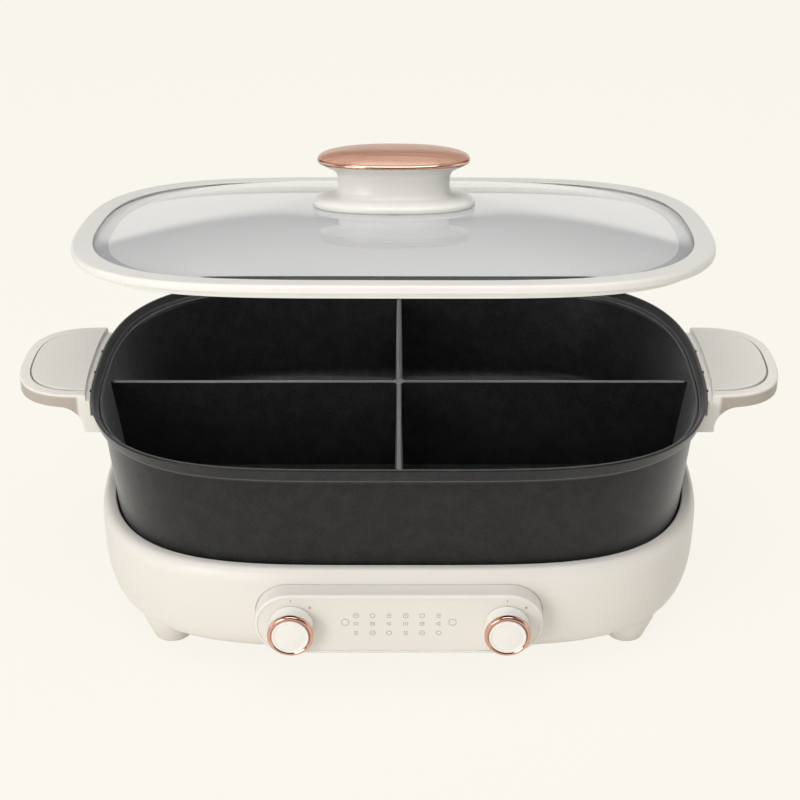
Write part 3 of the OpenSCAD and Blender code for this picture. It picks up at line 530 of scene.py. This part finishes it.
def stadium(length, height, rings):           # rings: inset, distance along Y, edge radius
    straight, radius, count = length - height, height / 2, consoleSize["points"]
    around = 2 * straight + fullTurn * radius

    def spot(ring, number):
        inset, y, _ = ring
        way = around * number / count
        quarter = straight / 2
        if way < quarter or way >= around - quarter:
            x, z = (way if way < quarter else way - around), radius - inset
        elif way < quarter + math.pi * radius:
            turn = math.pi / 2 - (way - quarter) / radius
            x, z = straight / 2 + (radius - inset) * math.cos(turn), (radius - inset) * math.sin(turn)
        elif way < 3 * quarter + math.pi * radius:
            x, z = straight / 2 - (way - quarter - math.pi * radius), inset - radius
        else:
            turn = -math.pi / 2 - (way - 3 * quarter - math.pi * radius) / radius
            x, z = -straight / 2 + (radius - inset) * math.cos(turn), (radius - inset) * math.sin(turn)
        return (x, y, consoleMidZ + z)

    return loft(rings, count, spot, closed=len(rings) > 4)


def makeConsole():
    rim, soft = consoleSize["rim"], consoleSize["softness"]
    front = consoleLow.y
    bed, shelf = panelFront + consoleSize["panel"], rim + consoleSize["ledge"]
    rings = [(0, consoleBack, 0), (0, front, soft), (rim, front, 0.35), (rim, bed, 0), (shelf, bed, 0),
             (shelf, consoleBack, 0)]
    finishPiece("console_rim", stadium(consoleSize["length"], consoleSize["height"], rings), "creamShell", "base",
                ["console_frame"])


potSize = {"low": 72.0, "corner": 5.0, "sideLow": 173.7, "sideTop": 179.0, "wall": 2.8, "band": 8.3, "flare": 2.2,
           "rimWidth": 6.4, "fillet": 11.0, "partitionDrop": 11.5, "partitionTop": 3.0, "partitionFoot": 5.0,
           "nubs": (20.0, -9.0, -34.0)}


def arcRings(centre, radius, start, stop, steps):
    turns = [math.radians(start + (stop - start) * step / steps) for step in range(steps + 1)]
    return [(centre[0] + radius * math.cos(turn), centre[1] + radius * math.sin(turn), 0) for turn in turns]


def makePot():
    low, wall, corner, fillet = potSize["low"], potSize["wall"], potSize["corner"], potSize["fillet"]
    bandLow = rimZ - potSize["band"]
    flareLow, inner = bandLow - potSize["flare"], potHalf - potSize["rimWidth"]
    rings = arcRings((potSize["sideLow"] - corner, low + corner), corner, -90, 0, 7)
    rings += [(potSize["sideTop"], flareLow, 1.6), (potHalf - 2.3, bandLow, 0.9), (potHalf - 0.1, rimZ - 1.4, 0)]
    rings += arcRings((potHalf - 1.0, rimZ - 1.0), 1.0, 0, 140, 6)
    rings += [(potHalf - 2.5, rimZ - 2.0, 0), (potHalf - 3.3, rimZ - 3.7, 0.25), (potHalf - 4.0, rimZ - 4.1, 0.25),
              (inner + 2.2, rimZ - 6.3, 0.2), (inner + 1.5, rimZ - 6.4, 0.15)]
    rings += arcRings((inner + 0.7, rimZ - 6.1), 0.7, 0, 180, 6)
    rings += [(inner - 0.5, rimZ - 7.2, 0.6)]
    rings += arcRings((potSize["sideLow"] - wall - fillet, low + wall + fillet), fillet, 0, -90, 8)
    shape = loft(rings, len(outline), onOutline)
    for long in (True, False):
        shape = combine(shape, partitionWall(0 if long else slim, long), "UNION")
    shape = combine(shape, partitionStar(), "UNION")
    for side in (-1, 1):
        ends = sorted((side * (potSize["sideTop"] - 1.5), side * (potHalf - 0.5)))
        lug = block((ends[0], middleY - 22, bandLow - 8), (ends[1], middleY + 22, bandLow + 0.6))
        shape = combine(shape, lug, "UNION")
        for y in potSize["nubs"]:
            shape = combine(shape, nub(side, y), "UNION")
    finishPiece("pot_body", shape, "castCoating", "pot", ["pot"])


def nub(side, y):                             # a small cast tooth on the rim's edge, beside a handle
    x = endX(potHalf, y)
    reach = sorted((side * (x - 1.5), side * (x + 0.9)))
    return block((reach[0], middleY + y - 1.4, rimZ - 2.4), (reach[1], middleY + y + 1.4, rimZ - 0.6), 0.35)


def partitionWall(less, long):
    low, top = potSize["low"] + 1.4, rimZ - potSize["partitionDrop"]
    corner = potSize["corner"] - 1.4
    levels = [low, low + 1.5, low + corner, (low + top) / 2, top]
    foot, crest = potSize["partitionFoot"] / 2, potSize["partitionTop"] / 2
    endLow, endTop = potSize["sideLow"] - 1.4, potSize["sideTop"] - 0.8

    def spot(ring, number):
        z = ring[0]
        half = endLow + (endTop - endLow) * max(0.0, (z - low - corner) / (top - low - corner))
        if z < low + corner:
            half -= corner - math.sqrt(max(corner ** 2 - (low + corner - z) ** 2, 0))
        thick = foot + (crest - foot) * (z - low) / (top - low)
        x, y = (half - less) * (1 if number in (0, 3) else -1), thick * (1 if number in (0, 1) else -1)
        return (x, middleY + y, z) if long else (y, middleY + x, z)

    return loft([(z, 0.9 if z == top else 0) for z in levels], 4, spot)


def partitionStar():
    low, top = potSize["low"] + 1.5, rimZ - potSize["partitionDrop"] + 0.1

    def spot(ring, number):
        turn = fullTurn * number / 8
        reach = ring[1] if number % 2 == 0 else ring[1] * 0.5
        return (reach * math.cos(turn), middleY + reach * math.sin(turn), ring[0])

    return loft([(low, 5.0, 0), (top - 5, 5.0, 0), (top, 5.8, 0.4)], 8, spot)


handle = {"start": 187.7, "reach": 42.5, "width": 95.0, "thick": 9.0, "rise": 3.6, "fillet": 14.0, "legOut": 187.5,
          "legFoot": 5.5, "lug": 8.0, "edge": 1.8, "margin": 7.0, "groove": 1.2, "capThick": 2.6, "proud": 0.8,
          "corner": 1.4, "clear": 0.3, "powers": (2.9, 2.5)}
handleCount = 160


def handleRing(ring, number):                 # ring: grow, furthest x, inner edge, height, edge radius
    grow, furthest, inner, z = ring[:4]
    start, half, reach = handle["start"], handle["width"] / 2 + grow, handle["reach"] + grow
    turn = fullTurn * number / handleCount
    if number <= handleCount / 2:
        sidePower, tipPower = handle["powers"]
        y = -half * math.copysign(abs(math.cos(turn)) ** (2 / sidePower), math.cos(turn))
        x, soft = start + reach * abs(math.sin(turn)) ** (2 / tipPower), handle["corner"]
        gap = x - furthest                    # the plan is cut off at the furthest x, with a soft corner
        return (x - (gap + math.sqrt(gap * gap + soft * soft)) / 2 if furthest < start + reach else x, y, z)
    share, side = number / handleCount * 2 - 1, 0.07
    if share < side:
        return (start + (inner(half) - start) * share / side, half, z)
    if share > 1 - side:
        return (start + (inner(half) - start) * (1 - share) / side, -half, z)
    y = half * (1 - 2 * (share - side) / (1 - 2 * side))
    return (inner(y), y, z)


def makeHandle(side, name):
    top, start = rimZ + handle["rise"], handle["start"]
    low, bandLow, tip = top - handle["thick"], rimZ - potSize["band"], start + handle["reach"]
    legLow, whole = bandLow - handle["lug"] - handle["legFoot"], tip + 9

    def hugging(reach):
        return lambda y: endX(reach, y)

    clear = handle["clear"]
    overLid, overRim, overWall = (hugging(reach) for reach in (start, potHalf + clear, potSize["sideTop"] + clear))
    under = bandLow - potSize["flare"] - clear

    def furthestAt(z):
        drop = max(0.0, z - low + handle["fillet"])
        return handle["legOut"] + handle["fillet"] - math.sqrt(max(handle["fillet"] ** 2 - drop ** 2, 0))

    heights = [low - handle["fillet"] * (1 - math.sin(math.pi / 2 * step / 10)) for step in range(1, 10)]
    rings = [(0, handle["legOut"], overWall, legLow, 0.7)]
    rings += [(0, furthestAt(z), overWall, z, 0) for z in heights if z < under]
    rings += [(0, furthestAt(under), overWall, under, 0), (0, furthestAt(under), overRim, under, 0)]
    rings += [(0, furthestAt(z), overRim, z, 0) for z in heights if z > under]
    margin, soft = handle["margin"], handle["edge"]
    rimTop = top - handle["proud"]
    rings += [(0, start + handle["fillet"] - 0.2, overRim, low, 0), (0, whole, overRim, low, soft),
              (0, whole, overRim, rimZ - 1, 0), (0, whole, overLid, rimZ - 1, 0), (0, whole, overLid, rimTop, soft)]
    rings += [(handle["groove"] - margin, whole, lambda y: overLid(y) + 1.0, z, 0.3 * (z == rimTop))
              for z in (rimTop, top - handle["capThick"] - 0.3)]
    grip = loft(rings, handleCount, handleRing)
    place = Matrix.Translation((0, middleY * mm, 0))
    if side < 0:
        place = place @ Matrix.Scale(-1, 4, (1, 0, 0))
    finishPiece(name + "_grip", grip, "creamHandlePaintedShade", "pot", [name], place)
    cap = [(-margin, whole, lambda y: overLid(y) - 0.05, z, 0.7 * (z == top))
           for z in (top - handle["capThick"], top)]
    finishPiece(name + "_inlay", loft(cap, handleCount, handleRing), "creamInlay", "pot",
                [name + "_cap"], place)


lidJoint = next(joint for joint in frame["joints"] if joint["name"] == "lid_lift")
lidAxis = Vector(lidJoint["pos_m"])
lidTurn = math.radians(-lidJoint["range_deg"][0])     # from closed to how it is held
heldLid = (Matrix.Translation(lidAxis) @ Matrix.Rotation(lidTurn, 4, Vector(lidJoint["axis"]))
           @ Matrix.Translation(-lidAxis))
seatZ = lidAxis.z / mm                                # the closed lid's frame rests at this height

# under is how far the lower lip reaches in below the glass, further than on the CAD node
lidSize = {"half": 186.7, "frameIn": 174.7, "frame": 5.2, "glass": 178.2, "glassLow": 0.9, "glassThick": 3.4,
           "dome": 13.5, "under": 8.6, "flat": 0.29, "edge": 0.955}


def makeLidFrame():
    half, inner, height = lidSize["half"], lidSize["frameIn"], lidSize["frame"]
    glassLow, glassTop = lidSize["glassLow"], lidSize["glassLow"] + lidSize["glassThick"]
    under = inner - lidSize["under"]
    rings = [(under, glassLow - 0.05, 0), (under, 0, 0.4), (inner + 2.4, 0, 0.3), (inner + 2.5, -4, 0.7),
             (inner + 4.6, -4, 0.7), (inner + 4.7, 0, 0.3), (half, 0, 1.5), (half, height, 1.8), (inner, height, 0.5),
             (inner, glassTop + 0.05, 0),
             (lidSize["glass"] + 0.3, glassTop + 0.05, 0), (lidSize["glass"] + 0.3, glassLow - 0.05, 0)]
    rings = [(a, seatZ + z, r) for a, z, r in rings]
    finishPiece("lid_rim", loft(rings, len(outline), onOutline, closed=True), "creamFrame", "lid",
                ["lid_frame"], heldLid)


def domeAt(share):
    if share < lidSize["flat"]:
        return lidSize["dome"]
    return lidSize["dome"] * (1 - ((share - lidSize["flat"]) / (lidSize["edge"] - lidSize["flat"])) ** 1.9)


def makeLidGlass():
    half, low, thick = lidSize["glass"], lidSize["glassLow"], lidSize["glassThick"]
    shares = [lidSize["edge"] - (lidSize["edge"] - 0.1) * number / 20 for number in range(21)]
    rings = [(share, low + domeAt(share), 0) for share in reversed(shares)]
    rings += [(1.0, low, 0.6), (1.0, low + thick, 0.6)]
    rings += [(share, low + thick + domeAt(share), 0) for share in shares]

    def spot(ring, number):
        across, along = outline[number]
        return (half * ring[0] * across, middleY + (half - slim) * ring[0] * along, seatZ + ring[1])

    finishPiece("lid_pane", loft(rings, len(outline), spot), "smokedGlass", "lid", ["lid_glass"],
                heldLid)


lidKnob = {"half": 45.0, "halfDepth": 27.0, "foot": 48.0, "power": 2.4, "height": 34.0, "trim": 2.2, "cap": 8.0}
gripPlaces = evenPlaces(112, lidKnob["half"], lidKnob["halfDepth"], (lidKnob["power"],) * 2)


def gripSpot(ring, number):                   # ring: half length, half depth, height above the glass, edge radius
    across, along = gripPlaces[number]
    glassTop = lidSize["glassLow"] + lidSize["glassThick"] + lidSize["dome"]
    return (ring[0] * across, middleY + ring[1] * along, seatZ + glassTop + ring[2])


def makeLidKnob():
    half, depth, foot = lidKnob["half"], lidKnob["halfDepth"], lidKnob["foot"]
    trimLow = lidKnob["height"] - lidKnob["cap"]
    neck, neckDepth = half - 12, depth - 10
    rings = [(foot, depth, 0, 0.6), (foot, depth, 3.0, 1.3), (foot - 3, depth - 2.6, 4.7, 0),
             (foot - 6.5, depth - 5, 5.4, 0), (foot - 10.5, depth - 7.4, 6.0, 0),
             (neck + 2.2, neckDepth + 1.7, 6.8, 0), (neck + 0.7, neckDepth + 0.5, 8.2, 0),
             (neck, neckDepth, 10.5, 0), (neck, neckDepth, trimLow - 9.5, 0),
             (neck + 0.6, neckDepth + 0.5, trimLow - 7.0, 0), (neck + 2.2, neckDepth + 1.9, trimLow - 5.0, 0),
             (neck + 5.2, neckDepth + 4.4, trimLow - 3.3, 0), (half - 3.4, depth - 3.0, trimLow - 1.6, 0),
             (half - 1.6, depth - 1.5, trimLow - 0.7, 0), (half - 1.2, depth - 1.2, trimLow, 0)]
    finishPiece("lid_knob_body", loft(rings, len(gripPlaces), gripSpot), "knobWhite", "lid",
                ["lid_knob_base"], heldLid)
    rings = [(half - 0.5, depth - 0.5, trimLow, 0), (half, depth, trimLow + 0.5, 0.3),
             (half, depth, trimLow + 1.7, 0.3), (half - 0.5, depth - 0.5, trimLow + lidKnob["trim"], 0)]
    finishPiece("lid_knob_band", loft(rings, len(gripPlaces), gripSpot), "roseGold", "lid",
                ["lid_knob_trim"], heldLid)
    low, rise = trimLow + lidKnob["trim"], lidKnob["cap"] - lidKnob["trim"]
    rings = [(half - 0.8, depth - 0.8, low, 0)]
    for step in range(1, 13):
        turn = math.pi / 2 * step / 13
        rings.append(((half - 0.5) * math.cos(turn) ** 0.75, (depth - 0.5) * math.cos(turn) ** 0.75,
                      low + rise * math.sin(turn) ** 1.1, 0))
    finishPiece("lid_knob_wood", loft(rings, len(gripPlaces), gripSpot), "walnut", "lid", ["lid_knob_top"],
                heldLid)


knob = {"radius": 13.1, "out": 12.5, "ring": 2.6, "shaft": 3.0, "gap": 0.5}


def makeKnob(side):
    low, high = inMillimetres(side + "_knob_shaft")
    centre = ((low.x + high.x) / 2, panelFront, (low.z + high.z) / 2)
    radius, out, ring, shaft = knob["radius"], knob["out"], knob["ring"], knob["shaft"]
    axis = (0, -1, 0)
    gap = knob["gap"]
    body = [(0, out - 3.5, 0), (shaft, out - 3.5, 0), (shaft, gap + 1.5, 0), (shaft + 2, gap + 1.5, 0),
            (shaft + 2, out - 4.5, 0), (radius - 2.1, out - 4.5, 0), (radius - 2.1, gap, 0.3),
            (radius - 0.3, gap, 0.5), (radius - 0.3, out - 3, 0), (radius - ring, out - 3, 0),
            (radius - ring, out - 1.6, 0), (0, out - 1.6, 0)]
    finishPiece(side + "_knob_body", turned(body, centre, axis), "knobWhite", side + "_knob",
                [side + "_knob"])
    rim = [(radius - ring + 0.05, out - 3, 0), (radius, out - 3, 0.3), (radius, out - 0.3, 0.9),
           (radius - 1.4, out - 0.1, 0.3), (radius - ring + 0.05, out - 0.9, 0), (radius - ring + 0.05, out - 3, 0)]
    finishPiece(side + "_knob_band", turned(rim, centre, axis), "roseGold", side + "_knob",
                [side + "_knob_ring"])
    face = radius - ring
    disc = [(0, out - 1.6, 0), (face, out - 1.6, 0), (face, out + 0.4, 0.35), (face - 1.1, out + 0.45, 0.3),
            (face - 1.5, out + 0.05, 0.2), (5.0, out + 0.45, 0.8), (0, out + 0.55, 0)]
    finishPiece(side + "_knob_face", turned(disc, centre, axis), "knobWhite", side + "_knob",
                [side + "_knob_cap"])
    return centre


marks = {"thick": 0.05, "line": 0.38, "columns": (-24.4, 9.4, 6), "rows": (6.2, 0.7, -5.6), "size": 1.7,
         "rings": (30.5, 1.7, 2.3), "tickRadius": 16.0, "dot": (10.8, 11.6)}


def markOutline(shape, x, z, radius, sides, turn, line, solid=False):
    made = bmesh.ops.create_circle(shape, cap_ends=True, segments=sides, radius=radius * mm)["verts"]
    face = made[0].link_faces[0]
    if not solid:
        bmesh.ops.inset_region(shape, faces=[face], thickness=line * mm, use_boundary=True, use_even_offset=True)
        bmesh.ops.delete(shape, geom=[face], context="FACES_ONLY")
    island = list({vert for start in made for near in start.link_edges for vert in near.verts} | set(made))
    bmesh.ops.rotate(shape, cent=(0, 0, 0), matrix=Matrix.Rotation(turn, 3, "Z"), verts=island)
    bmesh.ops.translate(shape, vec=(x * mm, z * mm, 0), verts=island)


def markBar(shape, x, z, length, thick, turn=0.0):
    made = bmesh.ops.create_grid(shape, x_segments=1, y_segments=1, size=0.5)["verts"]
    bmesh.ops.scale(shape, vec=(length * mm, thick * mm, 1), verts=made)
    bmesh.ops.rotate(shape, cent=(0, 0, 0), matrix=Matrix.Rotation(turn, 3, "Z"), verts=made)
    bmesh.ops.translate(shape, vec=(x * mm, z * mm, 0), verts=made)


def makeMarks(centres):
    shape = bmesh.new()
    first, pitch, count = marks["columns"]
    line, size = marks["line"], marks["size"]
    for column in range(count):
        for row, z in enumerate(marks["rows"]):
            x, kind = first + pitch * column, (column * 2 + row * 5) % 6
            if kind < 4:
                markOutline(shape, x, z, size, (20, 4, 6, 3)[kind], (0, math.pi / 4, 0, math.pi / 2)[kind], line)
                if kind < 2:
                    markBar(shape, x, z, size * 0.9, line)
            else:
                for step in (-1, 0, 1):
                    markBar(shape, x + (0 if kind == 4 else step * 1.1), z + (step * 1.1 if kind == 4 else 0),
                            size * 1.5, line, 0 if kind == 4 else math.pi / 2)
    for side in (-1, 1):
        markOutline(shape, side * marks["rings"][0], marks["rings"][1], marks["rings"][2], 28, 0, line)
    for x, _, _ in centres:
        markBar(shape, x, marks["tickRadius"], 0.5, 1.6)
        markOutline(shape, x + marks["dot"][0], marks["dot"][1], 0.8, 16, 0, line, solid=True)
    grown = bmesh.ops.extrude_face_region(shape, geom=shape.faces[:])["geom"]
    raised = [part for part in grown if isinstance(part, bmesh.types.BMVert)]
    bmesh.ops.translate(shape, vec=(0, 0, marks["thick"] * mm), verts=raised)
    place = Matrix.Translation((0, panelFront * mm, consoleMidZ * mm)) @ Matrix.Rotation(math.pi / 2, 4, "X")
    finishPiece("panel_marks", shape, "panelInk", "base", (), place)


print("modelling")
makeBaseShell()
print("base done")
makeConsole()
makePot()
print("pot done")
for side, name in ((-1, "left_handle"), (1, "right_handle")):
    makeHandle(side, name)
print("handles done")
makeLidFrame()
makeLidGlass()
makeLidKnob()
print("lid done")
makeMarks([makeKnob(side) for side in ("left", "right")])
print("controls done")

kept = {
    "front_left_foot": "creamShell", "front_right_foot": "creamShell", "rear_left_foot": "creamShell",
    "rear_right_foot": "creamShell", "bottom_cover": "underside", "deck_ring": "deckCoating", "foot_pads": "padRubber",
    "bottom_screws": "screwSteel", "heating_plate": "plateAluminium", "heater_tube": "heaterSteel",
    "plate_supports": "screwSteel", "heat_reflector": "reflectorSteel", "thermostat": "brass",
    "thermal_fuse": "fuseSleeve", "control_panel": "panelPlastic", "control_board": "board",
    "left_control": "controlCase", "right_control": "controlCase", "left_knob_shaft": "screwSteel",
    "right_knob_shaft": "screwSteel", "mains_inlet": "inletBlack", "inlet_pins": "nickel", "power_board": "board",
    "handle_screws": "screwSteel", "lid_knob_washer": "sealGrey", "lid_knob_screw": "screwSteel",
}
for node, finish in kept.items():
    item = frame["nodes"][node]
    item.data.materials.clear()
    item.data.materials.append(finishes[finish])

# own is the share of its own colour that the floor shows the camera, mirrored what it shows in reflections close by
studio = {"pale": (0.965, 0.939, 0.871), "floor": 3.0, "below": 0.0002, "own": 0.93, "mirrored": 0.05,
          "shadowMiddle": (0, -0.35, 0), "shadowReach": (0.22, 0.42),
          "world": ((0.47, 0.465, 0.455), (0.35, 0.345, 0.337)), "walls": (0.11, 0.11, 0.115),
          "skyline": (0.07, 0.13), "ceiling": (0.65, 0.65, 0.65), "wallTop": (0.35, 0.75),
          "front": (0.07, 0.062, 0.06), "frontFrom": (-0.45, -0.15), "sides": (1.6, 1.6, 1.6),
          "sideFrom": (0.72, 0.86)}


def makeFloor():
    shape = bmesh.new()
    bmesh.ops.create_grid(shape, x_segments=1, y_segments=1, size=studio["floor"])
    mesh = bpy.data.meshes.new("floor")
    shape.to_mesh(mesh)
    shape.free()
    item = bpy.data.objects.new("floor", mesh)
    item.location = (0, 0, -studio["below"])
    bpy.context.scene.collection.objects.link(item)
    finish = Finish(bpy.data.materials.new("floor"))
    diffuse = finish.add("ShaderNodeBsdfDiffuse", {}, {"Color": colour(studio["pale"])})
    glow = finish.add("ShaderNodeEmission", {}, {"Color": colour(studio["pale"]), "Strength": 1.0})
    ahead = finish.add("ShaderNodeVectorMath", {"operation": "SUBTRACT"},
                       {0: finish.place, 1: studio["shadowMiddle"]})
    away = finish.add("ShaderNodeVectorMath", {"operation": "LENGTH"}, {0: ahead}, out="Value")
    mirrored = away.within(*studio["shadowReach"]) * (studio["own"] - studio["mirrored"]) + studio["mirrored"]
    share = finish.seenBy("Camera", "Transmission") * studio["own"] + finish.seenBy("Glossy") * mirrored
    mesh.materials.append(finish.output(finish.add("ShaderNodeMixShader", {}, {0: share, 1: diffuse, 2: glow})))


def makeWorld():                              # plain for the camera, a room with walls for reflections
    finish = Finish(bpy.data.worlds.new("studio"), "Generated")
    bpy.context.scene.world = finish.owner
    x, y, z = (finish.add("ShaderNodeSeparateXYZ", {}, {0: finish.place}, out=axis) for axis in "XYZ")
    low = finish.blend(z.within(*studio["skyline"]), studio["pale"], studio["walls"])
    behind = finish.blend(z.within(*studio["wallTop"]), low, studio["ceiling"])
    ahead = finish.blend(y.within(*studio["frontFrom"]), studio["front"], behind)
    sides = finish.blend((x * x).within(*studio["sideFrom"]), ahead, studio["sides"])
    mirrored = finish.add("ShaderNodeBackground", {}, {"Color": sides, "Strength": 1.0})
    pale = finish.add("ShaderNodeBackground", {}, {"Color": colour(studio["pale"]), "Strength": 1.0})
    around = finish.blend(x.within(-1.0, 1.0), *studio["world"])
    ambient = finish.add("ShaderNodeBackground", {}, {"Color": around, "Strength": 1.0})
    lit = finish.add("ShaderNodeMixShader", {}, {0: finish.seenBy("Glossy"), 1: ambient, 2: mirrored})
    shown = finish.add("ShaderNodeMixShader", {}, {0: finish.seenBy("Camera", "Transmission"), 1: lit, 2: pale})
    finish.output(shown, "ShaderNodeOutputWorld")


lampTarget = (0, 0, 0.12)
lamps = {
    "key": {"place": (-0.95, -1.5, 0.6), "size": 0.8, "power": 12.5, "colour": (1.0, 0.985, 0.96)},
    "top": {"place": (0.05, -0.4, 1.9), "size": 1.4, "power": 19.0, "colour": (1.0, 0.995, 0.98)},
}


def makeLamps():
    target = Vector(lampTarget)
    for name, look in lamps.items():
        data = bpy.data.lights.new(name, "AREA")
        data.shape, data.size, data.energy, data.color = "SQUARE", look["size"], look["power"], look["colour"]
        item = bpy.data.objects.new(name, data)
        item.location = look["place"]
        item.rotation_euler = (target - item.location).to_track_quat("-Z", "Y").to_euler()
        bpy.context.scene.collection.objects.link(item)


makeFloor()
makeWorld()
makeLamps()
print("studio made")
